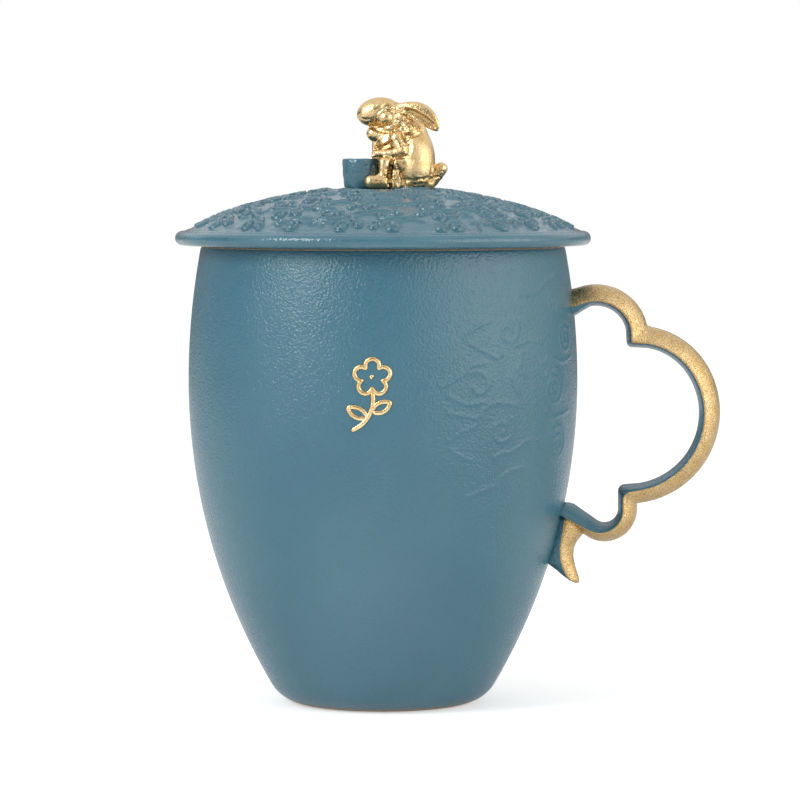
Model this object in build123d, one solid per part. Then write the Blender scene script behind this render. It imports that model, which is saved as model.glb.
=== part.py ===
from build123d import *
from math import asin, cos, degrees, radians, sin, sqrt
import os

# A lidded mug in millimetres. The cup's axis is Z, it stands on Z = 0, and its handle points to +X.

# Cup: a barrel whose outside is two arcs that meet upright at the belly
belly_radius = 44.0
belly_height = 73.0
lower_swell = 136.0            # radius of the outside arc under the belly
upper_swell = 162.5            # radius of the outside arc over the belly
rim_height = 103.8
wall = 3.4
floor_thickness = 5.0
floor_round = 9.0              # inside corner between floor and wall
foot_round = 9.0               # outside corner between wall and foot
foot_recess_radius = 15.0
foot_recess_depth = 1.5
rim_outer_round = 1.3
mouth_chamfer = 0.9

# Lid: a dome with a beaded edge that sits on the rim, located by a collar inside the mouth
lid_overhang = 5.9             # from the cup's rim to the outside of the bead
bead_radius = 1.55
bead_crease = 105.0            # degrees round the bead at which the dome runs into it
crown_height = 13.2            # top of the dome over the rim
crown_radius = 113.5
shoulder_width = 16.0          # of the steeper ring between the crown and the bead
lid_wall = 3.2
collar_depth = 7.0
collar_wall = 2.4
collar_clearance = 0.6
collar_chamfer = 0.8
pad_radius = 12.0              # flat on the crown that carries the knob
seat_rise = 0.5                # low oval step under the rabbit's haunches
seat_length = 9.6
seat_width = 10.4
seat_centre = 7.0

# Handle: three lobes in the plane Y = 0 that meet in sharp cusps, with a tail under the lower root
handle_depth = 11.4            # along Y
upper_thickness = 4.9          # in the plane of the loop, from the finger side to the outside
lower_thickness = 4.4
finger_crown = 1.25            # bulge of the face that the fingers touch
upper_lobe_radius = 9.3
upper_lobe_reach = 4.2         # from the belly to the middle of the upper lobe
upper_lobe_drop = 20.6         # from the rim down to the middle of the upper lobe
upper_root_angle = 106.0       # degrees round the upper lobe at which it runs into the cup
main_lobe_radius = 15.9
main_lower_radius = 18.4
main_turn_angle = 32.0         # degrees above level at which the main lobe eases into its lower half
lower_lobe_radius = 5.2
lower_lobe_drop = 3.45
lower_root_angle = 35.0        # rise of the lower arm towards the cup, in degrees
root_sink = 12.0               # run of each arm past its lobe, cut off again at the cup's surface
tail_depth = 9.0
tail_length = 16.85            # from the middle of the lower lobe down to the tip
tail_setback = 5.75            # of the tip from the middle of the lower lobe, towards the cup
tail_hollow = 1.3              # curve of the outer edge
tail_root_run = 9.15           # from the tip to the end of the lower edge, inside the cup's wall
tail_root_rise = 11.3
tail_swell = 2.57              # curve of the lower edge
tail_crown = 3.0               # bulge of its outer face

# Mortar: the small pot in front of the rabbit, standing on the lid's flat
mortar_radius = 4.15
mortar_height = 6.5
mortar_wall = 0.7
mortar_depth = 3.4
mortar_reach = 5.05            # from the cup's axis to the mortar's
mortar_draw = 0.25             # narrowing of its barrel at the foot and the lip
mortar_lip_chamfer = 0.25

# Rabbit: places are (x, y, z) from the middle of the lid's flat; it faces -X, and its two sides mirror in y
knob_clearance = 0.3           # between the rabbit and the mortar
torso_place = (7.2, 0, 6.9)
torso_length = 15.6
torso_girth = 4.7
torso_rise = 94.0              # degrees of its long axis from level
chest_place = (5.2, 0, 11.2)
chest_radius = 3.4
throat_place = (0.5, 0, 14.4)
throat_radius = 2.4
breast_place = (1.3, 0, 9.9)   # behind the paws
breast_radius = 3.0
lap_place = (3.9, 0, 3.1)      # between the thighs
lap_radius = 3.3
head_place = (-1.4, 0, 17.4)
head_length = 9.2
head_girth = 3.2
head_rise = 15.0               # with the nose low
skull_place = (0.9, 0, 17.6)
skull_radius = 2.7
cheek_place = (0.4, 2.0, 16.2)
cheek_radius = 1.9
ear_root = (2.4, 1.5, 19.0)
near_ear_length = 9.0
far_ear_length = 12.0
ear_half_width = 2.0
ear_half_thickness = 0.8
ear_wall = 0.55
near_ear_droop = 45.0          # degrees under level
far_ear_droop = 27.0
ear_splay = 14.0               # degrees out from the rabbit's middle
shoulder_place = (4.3, 3.3, 11.4)
shoulder_radius = 2.1
elbow_place = (5.1, 4.7, 8.3)
elbow_radius = 1.65
forearm_radius = 1.45
paw_place = (-1.3, 1.9)        # in plan, over the lip of the mortar
paw_radius = 1.15
fist_place = (-1.8, 0, 12.5)
fist_radius = 1.95
wrist_radius = 1.3
haunch_place = (7.5, 2.7, 4.5)
haunch_length = 9.8
haunch_girth = 3.8
haunch_rise = 100.0
thigh_radius = 2.8
knee_place = (0.9, 4.5, 5.8)
knee_radius = 1.6
shin_radius = 1.35
heel_place = 0.8               # along x
heel_radius = 1.4
instep_radius = 1.3
toe_radius = 1.55
foot_run = 3.1                 # from the middle of the heel to the middle of the toes
sole_cut = 0.35                # part of the foot's round that the sole flattens
scut_root = (11.2, 0, 2.0)
scut_root_radius = 1.4
scut_tip = (13.2, 0, 4.6)
scut_tip_radius = 1.45
pestle_radius = 0.55
pestle_dip = 1.6               # of the pestle's end under the lip of the mortar


def outside_radius(height, inset=0.0):
    swell = upper_swell if height > belly_height else lower_swell
    return belly_radius - swell + sqrt((swell - inset) ** 2 - (height - belly_height) ** 2)


def arc_height(radius, run, top):
    return top - radius + sqrt(radius ** 2 - run ** 2)


rim_radius = outside_radius(rim_height)
mouth_radius = outside_radius(rim_height, wall)
lid_radius = rim_radius + lid_overhang
crown_top = rim_height + crown_height
pad_height = arc_height(crown_radius, pad_radius, crown_top)


def turned(outline):
    return revolve(Plane.XZ * outline, Axis.Z)


def polar(centre, radius, angle):
    return (centre[0] + radius * cos(radians(angle)), centre[1] + radius * sin(radians(angle)))


def corner(face, place):
    return face.vertices().sort_by_distance(place)[0]


def barrel(bottom, inset):
    # Half the cup's outline, from a height up to the rim, at a distance inside its outer surface
    half_way_down = (bottom + belly_height) / 2
    half_way_up = (belly_height + rim_height) / 2
    foot = (outside_radius(bottom, inset), bottom)
    belly = (belly_radius - inset, belly_height)
    lip = (outside_radius(rim_height, inset), rim_height)
    outline = ThreePointArc(foot, (outside_radius(half_way_down, inset), half_way_down), belly)
    outline += ThreePointArc(belly, (outside_radius(half_way_up, inset), half_way_up), lip)
    outline += Polyline(lip, (0, rim_height), (0, bottom), foot)
    return make_face(outline)


def cup_outside():
    # The full form of the cup without its hollow, which also shapes the roots of the handle
    face = barrel(0, 0)
    face = fillet(corner(face, (outside_radius(0), 0)), foot_round)
    return turned(fillet(corner(face, (rim_radius, rim_height)), rim_outer_round))


def cup_hollow():
    face = barrel(floor_thickness, wall)
    return turned(fillet(corner(face, (outside_radius(floor_thickness, wall), floor_thickness)), floor_round))


def mug_body():
    foot_recess = Pos(0, 0, foot_recess_depth / 2) * Cylinder(foot_recess_radius, foot_recess_depth)
    cup = cup_outside() - cup_hollow() - foot_recess
    mouth_edge = cup.edges().filter_by(GeomType.CIRCLE).group_by(Axis.Z)[-1].sort_by(SortBy.RADIUS)[0]
    return chamfer(mouth_edge, mouth_chamfer)


def lid():
    bead_centre = lid_radius - bead_radius
    bead_level = rim_height + bead_radius
    crease_point = polar((bead_centre, bead_level), bead_radius, bead_crease)
    break_radius = lid_radius - shoulder_width
    break_slope = asin(break_radius / crown_radius)
    break_point = (break_radius, arc_height(crown_radius, break_radius, crown_top))
    collar_radius = mouth_radius - collar_clearance
    collar_bore = collar_radius - collar_wall
    collar_end = rim_height - collar_depth
    inner_crown = crown_radius - lid_wall
    inner_top = crown_top - lid_wall
    bore_top = (collar_bore, arc_height(inner_crown, collar_bore, inner_top))

    crown = ThreePointArc(
        (0, crown_top),
        (break_radius / 2, arc_height(crown_radius, break_radius / 2, crown_top)),
        break_point,
    )
    shoulder = TangentArc(break_point, crease_point, tangent=(cos(break_slope), -sin(break_slope)))
    bead = CenterArc((bead_centre, bead_level), bead_radius, bead_crease, -90 - bead_crease)
    seat = Polyline(
        (bead_centre, rim_height),
        (collar_radius, rim_height),
        (collar_radius, collar_end),
        (collar_bore, collar_end),
        bore_top,
    )
    underside = ThreePointArc(
        bore_top,
        (collar_bore / 2, arc_height(inner_crown, collar_bore / 2, inner_top)),
        (0, inner_top),
    )
    axis_line = Line((0, inner_top), (0, crown_top))
    face = make_face(crown + shoulder + bead + seat + underside + axis_line)
    face = chamfer(face.vertices().group_by(Axis.Y)[0], collar_chamfer)

    trim = Pos(0, 0, pad_height + crown_height / 2) * Cylinder(lid_radius, crown_height)
    return turned(face) - trim + seat_step()


def seat_step():
    return extrude(Pos(seat_centre, 0, pad_height) * Ellipse(seat_length / 2, seat_width / 2), seat_rise)


def handle_section(thickness):
    # A lens: a full outer arc and a shallow finger side that meet in two crisp edges
    half_depth = handle_depth / 2
    edge = finger_crown - thickness / 2
    outer_side = ThreePointArc((edge, -half_depth), (thickness / 2, 0), (edge, half_depth))
    finger_side = ThreePointArc((edge, half_depth), (-thickness / 2, 0), (edge, -half_depth))
    return make_face(outer_side + finger_side)


def bar(route, outward, thickness):
    path = Plane.XZ * route
    start = Plane(origin=path @ 0, x_dir=outward, z_dir=path % 0)
    return sweep(start * handle_section(thickness), path)


def upper_lobe(centre):
    # Leaves the cup, rises and comes down to the first cusp
    root = polar(centre, upper_lobe_radius, upper_root_angle)
    sunk = polar(root, root_sink, upper_root_angle + 90)
    cusp = polar(centre, upper_lobe_radius, 0)
    route = Line(sunk, root)
    route += CenterArc(centre, upper_lobe_radius, upper_root_angle, -upper_root_angle)
    route += Line(cusp, (cusp[0], cusp[1] - upper_thickness / 2))
    outward = Vector(cos(radians(upper_root_angle)), 0, sin(radians(upper_root_angle)))
    return bar(Wire(route.edges()), outward, upper_thickness)


def main_lobe(first_cusp, upper_centre, lower_centre):
    second_cusp = polar(lower_centre, main_lower_radius, -90)
    route = Line((first_cusp[0] - upper_thickness / 2, first_cusp[1]), first_cusp)
    route += CenterArc(upper_centre, main_lobe_radius, 90, main_turn_angle - 90)
    route += CenterArc(lower_centre, main_lower_radius, main_turn_angle, -90 - main_turn_angle)
    route += Line(second_cusp, (second_cusp[0] - lower_thickness / 2, second_cusp[1]))
    return bar(Wire(route.edges()), Vector(0, 0, 1), upper_thickness)


def lower_lobe(second_cusp, centre):
    end_angle = -90 - lower_root_angle
    arm_start = polar(centre, lower_lobe_radius, end_angle)
    arm_end = polar(arm_start, root_sink, 180 - lower_root_angle)
    route = Line((second_cusp[0], second_cusp[1] + upper_thickness / 2), (second_cusp[0], centre[1]))
    route += CenterArc(centre, lower_lobe_radius, 0, end_angle)
    route += Line(arm_start, arm_end)
    return bar(Wire(route.edges()), Vector(1, 0, 0), lower_thickness)


def handle_tail(lobe_centre):
    # A horn that hangs from the lower arm, joined to the cup along its inner side
    tip = (lobe_centre[0] - tail_setback, lobe_centre[1] - tail_length)
    arm_start = polar(lobe_centre, lower_lobe_radius, -90 - lower_root_angle)
    top = polar(arm_start, lower_thickness, 180 - lower_root_angle)
    edge_end = (tip[0] - tail_root_run, tip[1] + tail_root_rise)
    sunk = edge_end[0] - root_sink
    outline = SagittaArc(top, tip, -tail_hollow)
    outline += SagittaArc(tip, edge_end, tail_swell)
    outline += Polyline(edge_end, (sunk, edge_end[1]), (sunk, top[1] + lower_thickness), top)
    leaf = extrude(Plane.XZ * make_face(outline), tail_depth, both=True)

    half_depth = tail_depth / 2
    edge = tip[0] - tail_crown
    section = ThreePointArc((edge, -half_depth), (tip[0], 0), (edge, half_depth))
    section += Polyline((edge, half_depth), (sunk, half_depth), (sunk, -half_depth), (edge, -half_depth))
    return leaf & extrude(Pos(0, 0, lobe_centre[1]) * make_face(section), tail_length, both=True)


def handle():
    upper_centre = (belly_radius + upper_lobe_reach, rim_height - upper_lobe_drop)
    first_cusp = polar(upper_centre, upper_lobe_radius, 0)
    main_upper = (first_cusp[0], first_cusp[1] - main_lobe_radius)
    main_lower = polar(main_upper, main_lower_radius - main_lobe_radius, main_turn_angle + 180)
    second_cusp = polar(main_lower, main_lower_radius, -90)
    lower_centre = (second_cusp[0] - lower_lobe_radius, second_cusp[1] - lower_lobe_drop)
    loop = upper_lobe(upper_centre) + main_lobe(first_cusp, main_upper, main_lower)
    loop += lower_lobe(second_cusp, lower_centre) + handle_tail(lower_centre)
    return loop - cup_outside()


def mortar():
    lip_radius = mortar_radius - mortar_draw
    bore_floor = mortar_height - mortar_depth
    side = ThreePointArc((lip_radius, 0), (mortar_radius, mortar_height / 2), (lip_radius, mortar_height))
    rest = Polyline(
        (lip_radius, mortar_height),
        (lip_radius - mortar_wall, mortar_height),
        (lip_radius - mortar_wall, bore_floor),
        (0, bore_floor),
        (0, 0),
        (lip_radius, 0),
    )
    face = make_face(side + rest)
    face = chamfer(face.vertices().group_by(Axis.Y)[-1], mortar_lip_chamfer)
    return Pos(-mortar_reach, 0, pad_height) * turned(face)


def on_side(place, side):
    return (place[0], side * place[1], place[2])


def ball(place, radius):
    return Pos(*place) * Sphere(radius)


def ovoid(place, length, girth, rise):
    return Pos(*place) * Rot(0, -rise, 0) * scale(Sphere(1), by=(length / 2, girth, girth))


def limb(start, end, start_radius, end_radius):
    # Two balls joined by the cone that touches both
    axis = Vector(*end) - Vector(*start)
    lean = degrees(asin((start_radius - end_radius) / axis.length))
    far = (axis.length, 0)
    outline = CenterArc((0, 0), start_radius, 180, -90 - lean)
    outline += Line(polar((0, 0), start_radius, 90 - lean), polar(far, end_radius, 90 - lean))
    outline += CenterArc(far, end_radius, 90 - lean, lean - 90)
    outline += Line((axis.length + end_radius, 0), (-start_radius, 0))
    place = Plane(origin=Vector(*start), x_dir=axis, z_dir=axis.cross(Vector(0, 1, 0)))
    return place * revolve(make_face(outline), Axis.X)


def ear(length, droop, side):
    # A flat leaf that lies back from the head, hollowed on its outer face
    leaf = scale(Sphere(1), by=(length / 2, ear_half_width, ear_half_thickness))
    hollow = scale(Sphere(1), by=(length / 2 - ear_wall, ear_half_width - ear_wall, ear_half_thickness))
    leaf -= Pos(0, 0, ear_wall) * hollow
    axis = Vector(cos(radians(droop)), side * sin(radians(ear_splay)), -sin(radians(droop))).normalized()
    outward = Vector(0, side, 0) - axis * (side * axis.Y)
    middle = Vector(*on_side(ear_root, side)) + axis * (length / 2)
    return Plane(origin=middle, x_dir=axis, z_dir=outward) * leaf


def rabbit_head():
    head = ovoid(head_place, head_length, head_girth, head_rise) + ball(skull_place, skull_radius)
    for side in (-1, 1):
        head += ball(on_side(cheek_place, side), cheek_radius)
    return head + ear(near_ear_length, near_ear_droop, -1) + ear(far_ear_length, far_ear_droop, 1)


def rabbit_leg(side):
    haunch = on_side(haunch_place, side)
    knee = on_side(knee_place, side)
    foot_spread = side * (mortar_radius + knob_clearance + toe_radius)
    heel = (heel_place, foot_spread, heel_radius - sole_cut)
    toe = (heel_place - foot_run, foot_spread, toe_radius - sole_cut)
    leg = ovoid(haunch, haunch_length, haunch_girth, haunch_rise)
    leg += limb(haunch, knee, thigh_radius, knee_radius)
    leg += limb(knee, heel, shin_radius, heel_radius)
    return leg + limb(heel, toe, instep_radius, toe_radius)


def rabbit_arms():
    # The near paw rests over the mortar's lip, and the far one holds the pestle under the chin
    paw = (paw_place[0], -paw_place[1], mortar_height + knob_clearance + paw_radius)
    near_shoulder = on_side(shoulder_place, -1)
    near_elbow = on_side(elbow_place, -1)
    arms = limb(near_shoulder, near_elbow, shoulder_radius, elbow_radius)
    arms += limb(near_elbow, paw, forearm_radius, paw_radius)
    arms += limb(shoulder_place, elbow_place, shoulder_radius, elbow_radius)
    return arms + limb(elbow_place, fist_place, forearm_radius, wrist_radius) + ball(fist_place, fist_radius)


def pestle():
    bore = mortar_radius - mortar_draw - mortar_wall
    lip = Vector(bore - mortar_reach - knob_clearance - pestle_radius, 0, mortar_height)
    run = lip - Vector(*fist_place)
    return extrude(Plane(Vector(*fist_place), z_dir=run) * Circle(pestle_radius), run.length + pestle_dip)


def rabbit_figure():
    figure = ovoid(torso_place, torso_length, torso_girth, torso_rise)
    figure += limb(chest_place, throat_place, chest_radius, throat_radius)
    figure += ball(breast_place, breast_radius) + ball(lap_place, lap_radius)
    figure += limb(scut_root, scut_tip, scut_root_radius, scut_tip_radius)
    figure += rabbit_leg(-1) + rabbit_leg(1)
    figure += rabbit_arms() + pestle() + rabbit_head()
    flat = Pos(0, 0, -torso_length / 2) * Cylinder(lid_radius, torso_length)
    return Pos(0, 0, pad_height) * (figure - flat) - seat_step()


os.makedirs("parts", exist_ok=True)
for node in (mug_body, handle, lid, mortar, rabbit_figure):
    export_step(node(), f"parts/{node.__name__}.step")
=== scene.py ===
import bmesh
import bpy
import math
import random
from mathutils import Matrix, Vector, kdtree, noise


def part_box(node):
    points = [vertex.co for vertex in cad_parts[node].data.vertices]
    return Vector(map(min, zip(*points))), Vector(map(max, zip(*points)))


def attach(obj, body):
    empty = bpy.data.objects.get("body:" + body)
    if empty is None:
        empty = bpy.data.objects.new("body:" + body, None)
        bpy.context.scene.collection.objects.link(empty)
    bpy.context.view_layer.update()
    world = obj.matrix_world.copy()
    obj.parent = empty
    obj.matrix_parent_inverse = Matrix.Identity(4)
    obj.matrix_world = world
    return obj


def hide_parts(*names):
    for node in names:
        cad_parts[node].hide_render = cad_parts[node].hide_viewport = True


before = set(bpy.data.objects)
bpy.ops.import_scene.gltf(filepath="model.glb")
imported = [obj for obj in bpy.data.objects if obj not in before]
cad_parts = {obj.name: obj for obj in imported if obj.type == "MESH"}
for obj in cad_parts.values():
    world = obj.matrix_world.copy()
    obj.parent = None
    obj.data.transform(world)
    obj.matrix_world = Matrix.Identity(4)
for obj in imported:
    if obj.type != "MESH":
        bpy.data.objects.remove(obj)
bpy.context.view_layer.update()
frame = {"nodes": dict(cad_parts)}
mm = 0.001  # pieces are modelled in millimetres and scaled once
up = Vector((0, 0, 1))
nodeBox = {name: [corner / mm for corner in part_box(name)] for name in frame["nodes"]}
print("frame loaded", sorted(nodeBox))


# general helpers

def polar(centre, radius, degrees):
    angle = math.radians(degrees)
    return (centre[0] + radius * math.cos(angle), centre[1] + radius * math.sin(angle))


def arc(centre, radius, start, end, count):
    return [polar(centre, radius, start + (end - start) * i / (count - 1)) for i in range(count)]


def smoothStep(low, high, value):
    t = min(max((value - low) / (high - low), 0), 1)
    return t * t * (3 - 2 * t)


def throughPoints(points, step=0.25):  # a smooth line through a few points, in short steps
    knots = [Vector(p) for p in points]
    knots = [knots[0] * 2 - knots[1]] + knots + [knots[-1] * 2 - knots[-2]]
    line = []
    for a, b, c, d in zip(knots, knots[1:], knots[2:], knots[3:]):
        count = max(2, int((c - b).length / step))
        for i in range(count):
            t = i / count
            line.append(0.5 * (2 * b + (c - a) * t + (2 * a - 5 * b + 4 * c - d) * t * t
                               + (3 * b - a - 3 * c + d) * t ** 3))
    return line + [knots[-2]]


def readCurve(points, height):  # the value of a (height, value) curve, given from the top down
    for (h0, v0), (h1, v1) in zip(points, points[1:]):
        if height >= h1:
            return v0 + (v1 - v0) * (h0 - height) / (h0 - h1)
    return points[-1][1]


def turn(bm, points, steps, sectors=1):  # spins one sector of a (radius, height) profile and repeats it
    verts = [bm.verts.new((p[0], 0, p[1])) for p in points]
    edges = [bm.edges.new(pair) for pair in zip(verts, verts[1:])]
    wedge = math.tau / sectors
    bmesh.ops.spin(bm, geom=verts + edges, cent=(0, 0, 0), axis=up, angle=wedge, steps=steps // sectors,
                   use_merge=sectors == 1)
    sector = bm.verts[:] + bm.edges[:] + bm.faces[:]
    for i in range(1, sectors):
        copied = bmesh.ops.duplicate(bm, geom=sector)["geom"]
        bmesh.ops.rotate(bm, verts=[v for v in copied if isinstance(v, bmesh.types.BMVert)], cent=(0, 0, 0),
                         matrix=Matrix.Rotation(i * wedge, 3, "Z"))
    closeUp(bm)


def closeUp(bm, gap=0.001):
    bmesh.ops.remove_doubles(bm, verts=bm.verts, dist=gap)
    bmesh.ops.recalc_face_normals(bm, faces=bm.faces)
    bm.normal_update()


def skin(bm, rings, marks=None):  # bridges rings of points, one to the next, and caps both ends
    painted = bm.verts.layers.int.get("painted") or bm.verts.layers.int.new("painted")
    loops = []
    for ring in rings:
        verts = [bm.verts.new(p) for p in ring]
        for vert, mark in zip(verts, marks or [0] * len(verts)):
            vert[painted] = mark
        loops.append([bm.edges.new((verts[i - 1], verts[i])) for i in range(len(verts))])
    for low, high in zip(loops, loops[1:]):
        made = bmesh.ops.bridge_loops(bm, edges=low + high)["faces"]
        for face in made:
            face.material_index = max(vert[painted] for vert in face.verts)
    for end in (loops[0], loops[-1]):
        bmesh.ops.edgeloop_fill(bm, edges=end)


def strokeTree(lines):  # nearest-point search over all the strokes of a relief
    points = [p for line in lines for p in line]
    tree = kdtree.KDTree(len(points))
    for i, p in enumerate(points):
        tree.insert((p[0], p[1], 0), i)
    tree.balance()
    return tree


def fromAxis(co):
    return math.hypot(co.x, co.y)


def toMesh(bm, name):
    mesh = bpy.data.meshes.new(name)
    bm.to_mesh(mesh)
    bm.free()
    return mesh


def addObject(name, data):
    made = bpy.data.objects.new(name, data)
    bpy.context.scene.collection.objects.link(made)
    return made


def makePiece(bm, name, body, node, materials):
    bmesh.ops.scale(bm, verts=bm.verts, vec=(mm, mm, mm))
    for face in bm.faces:
        face.smooth = True
    mesh = toMesh(bm, name)
    for material in materials:
        mesh.materials.append(material)
    piece = addObject(name, mesh)
    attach(piece, body)
    if node:
        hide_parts(node)
    print("made", name, len(mesh.polygons), "faces")


# materials

def setInputs(node, inputs):  # each is a socket to link or a plain value
    for key, value in inputs.items():
        if isinstance(value, bpy.types.NodeSocket):
            node.id_data.links.new(value, node.inputs[key])
        else:
            node.inputs[key].default_value = value


def addNode(beside, kind, inputs=None, **settings):  # in the tree of another node or socket
    made = beside.id_data.nodes.new("ShaderNode" + kind)
    for key, value in settings.items():
        setattr(made, key, value)
    setInputs(made, inputs or {})
    return made


def newMaterial(name):
    material = bpy.data.materials.new(name)
    material.use_nodes = True
    shader = material.node_tree.nodes["Principled BSDF"]
    place = addNode(shader, "TexCoord").outputs["Object"]
    return material, shader, place


def attribute(beside, name):  # 0 on a piece that doesn't have it
    return addNode(beside, "Attribute", attribute_name=name).outputs["Fac"]


def calculate(operation, first, *others):
    inputs = dict(enumerate([first, *others]))
    return addNode(first, "Math", inputs, operation=operation).outputs[0]


def grain(place, size, detail=2):  # noise with features of about that many millimetres
    inputs = {"Vector": place, "Scale": 1 / (size * mm), "Detail": detail}
    return addNode(place, "TexNoise", inputs).outputs["Fac"]


def spread(value, low, high, newLow=0, newHigh=1):
    inputs = {"Value": value, "From Min": low, "From Max": high, "To Min": newLow, "To Max": newHigh}
    return addNode(value, "MapRange", inputs).outputs["Result"]


def sheen(place, finish):  # roughness that wanders between the finish's two values
    wander = grain(place, finish["sheenSize"], finish["sheenDetail"])
    return spread(wander, 0.3, 0.7, *finish["roughness"])


def mixColour(factor, first, second):
    return addNode(factor, "Mix", {0: factor, 6: first, 7: second}, data_type="RGBA").outputs[2]


def bump(height, depth, under=None, strength=1):  # depth in millimetres
    inputs = {"Height": height, "Distance": depth * mm, "Strength": strength}
    if under:
        inputs["Normal"] = under
    return addNode(height, "Bump", inputs).outputs["Normal"]


satinGlaze = {
    "blue": (0.049, 0.156, 0.213, 1), "deep": (0.039, 0.138, 0.195, 1), "thin": (0.115, 0.225, 0.275, 1),
    "thinMix": 0.5, "poolMix": 0.6, "lipDepth": 0.15, "mottleSize": 28, "mottleMix": 1, "peelSize": 0.55,
    "peelDetail": 2.5, "peelDepth": 0.23, "peelShade": 0.5, "rippleSize": 1.6, "rippleDepth": 0.05,
    "sheenSize": 6, "sheenDetail": 4, "roughness": (0.15, 0.22),
}
glossGlaze = {
    **satinGlaze, "blue": (0.06, 0.164, 0.216, 1), "deep": (0.032, 0.104, 0.15, 1), "mottleSize": 9,
    "mottleMix": 0.4, "peelSize": 0.6, "peelDetail": 2, "peelDepth": 0.11, "peelShade": 0, "rippleSize": 1.8,
    "rippleDepth": 0.14, "sheenSize": 3, "sheenDetail": 3, "roughness": (0.05, 0.12),
}


def makeGlaze(name, finish):  # runs thin on the crests of a carving and pools under its lips
    material, shader, place = newMaterial(name)
    crest = attribute(place, "crest")
    peel = grain(place, finish["peelSize"], finish["peelDetail"])
    mottle = spread(grain(place, finish["mottleSize"], 3), 0.35, 0.65, 0, finish["mottleMix"])
    # painted shade: the glaze is darker in the hollows of the orange peel
    peelHollowShade = spread(peel, 0.25, 0.5, finish["peelShade"], 0)
    thin = spread(crest, 0.6, 1, 0, finish["thinMix"])
    pool = spread(crest, -1, 0, finish["poolMix"], 0)
    colour = mixColour(mottle, finish["blue"], finish["deep"])
    colour = mixColour(peelHollowShade, colour, finish["deep"])
    colour = mixColour(thin, colour, finish["thin"])
    normal = bump(grain(place, finish["rippleSize"]), finish["rippleDepth"])
    normal = bump(peel, finish["peelDepth"], normal)
    setInputs(shader, {
        "Base Color": mixColour(pool, colour, finish["deep"]),
        "Roughness": sheen(place, finish),
        "Normal": bump(crest, finish["lipDepth"], normal),  # sharpens the lips of a carving
        "IOR": 1.52,
    })
    return material


gilding = {
    "gold": (0.71, 0.52, 0.275, 1), "rich": (0.61, 0.41, 0.17, 1), "dark": (0.24, 0.15, 0.05, 1),
    "toneSize": 2.4, "grainSize": 0.28, "grainDepth": 0.2, "speckle": 0.7, "pitSize": 1, "pitDepth": 0.06,
    "paintedShadeMix": 0.85, "sheenSize": 0.9, "sheenDetail": 3, "roughness": (0.2, 0.32), "mattRise": 0,
}
brightGilding = {
    **gilding, "gold": (0.8, 0.6, 0.335, 1), "rich": (0.7, 0.48, 0.21, 1), "dark": (0.22, 0.125, 0.035, 1),
    "grainSize": 0.34, "grainDepth": 0.09, "speckle": 0.25, "pitDepth": 0.05, "roughness": (0.19, 0.31),
    "mattRise": 0.17,
}


def makeGilding(name, finish):  # fired lustre over a sanded, slightly pitted body
    material, shader, place = newMaterial(name)
    sandy = grain(place, finish["grainSize"])
    pits = addNode(place, "TexVoronoi", {"Vector": place, "Scale": 1 / (finish["pitSize"] * mm)})
    pits = spread(pits.outputs["Distance"], 0, 0.22)
    tone = spread(grain(place, finish["toneSize"], 4), 0.35, 0.7)
    speckle = spread(sandy, 0.34, 0.52, finish["speckle"], 0)
    # painted shade: darkens the gold where a piece's recess attribute marks creases, hollows, pits and edges
    recess = spread(attribute(place, "recess"), 0.1, 1, 0, finish["paintedShadeMix"])
    colour = mixColour(tone, finish["gold"], finish["rich"])
    colour = mixColour(speckle, colour, finish["dark"])
    rough = sheen(place, finish)
    under = bump(pits, finish["pitDepth"], strength=0.6)
    setInputs(shader, {
        "Base Color": mixColour(recess, colour, finish["dark"]),
        "Roughness": calculate("MULTIPLY_ADD", attribute(place, "matt"), finish["mattRise"], rough),
        "Normal": bump(sandy, finish["grainDepth"], under),
        "Metallic": 1,
    })
    return material


bareClay = {
    "light": (0.6, 0.46, 0.32, 1), "dark": (0.42, 0.3, 0.2, 1), "toneSize": 0.6, "tones": (0.45, 0.7),
    "skinSize": 0.3, "skinDetail": 3, "skinDepth": 0.03, "sheenSize": 4, "sheenDetail": 2,
    "roughness": (0.85, 0.85),
}
linerGlaze = {
    **bareClay, "light": (0.74, 0.72, 0.67, 1), "dark": (0.66, 0.63, 0.57, 1), "toneSize": 7,
    "tones": (0.35, 0.65), "skinSize": 2.5, "skinDetail": 2, "roughness": (0.1, 0.2),
}


def makePlain(name, finish):  # two tones and an uneven skin
    material, shader, place = newMaterial(name)
    tone = spread(grain(place, finish["toneSize"], 4), *finish["tones"])
    uneven = grain(place, finish["skinSize"], finish["skinDetail"])
    setInputs(shader, {
        "Base Color": mixColour(tone, finish["light"], finish["dark"]),
        "Roughness": sheen(place, finish),
        "Normal": bump(uneven, finish["skinDepth"]),
    })
    return material


satin = makeGlaze("satin_glaze", satinGlaze)
gloss = makeGlaze("gloss_glaze", glossGlaze)
gold = makeGilding("gilding", gilding)
brightGold = makeGilding("bright_gilding", brightGilding)
clay = makePlain("bare_clay", bareClay)
liner = makePlain("liner_glaze", linerGlaze)
print("materials made")


# cup: a barrel of two arcs, turned from one profile, with cloud scrolls raised beside the handle

cup = {
    "radius": nodeBox["mug_body"][1].y, "belly": 73, "lowerSwell": 136, "upperSwell": 162.5,
    "rim": nodeBox["mug_body"][1].z, "wall": 3.4, "floor": 5, "floorRound": 9, "footRound": 9,
    "recess": 15, "recessDepth": 1.5, "rimRound": 1.3, "clayLine": 0.6, "clayFoot": 0.7,
    "reliefFoot": 44, "fineStep": 0.85, "coarseStep": 2.2, "steps": 324, "sectors": 12,
}


def cupRadius(height, inset=0):
    swell = cup["upperSwell"] if height > cup["belly"] else cup["lowerSwell"]
    return cup["radius"] - swell + math.sqrt((swell - inset) ** 2 - (height - cup["belly"]) ** 2)


def cupWall(low, high, inset, step):
    count = max(2, round((high - low) / step))
    heights = [low + (high - low) * i / count for i in range(count + 1)]
    return [(cupRadius(h, inset), h) for h in heights]


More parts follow.
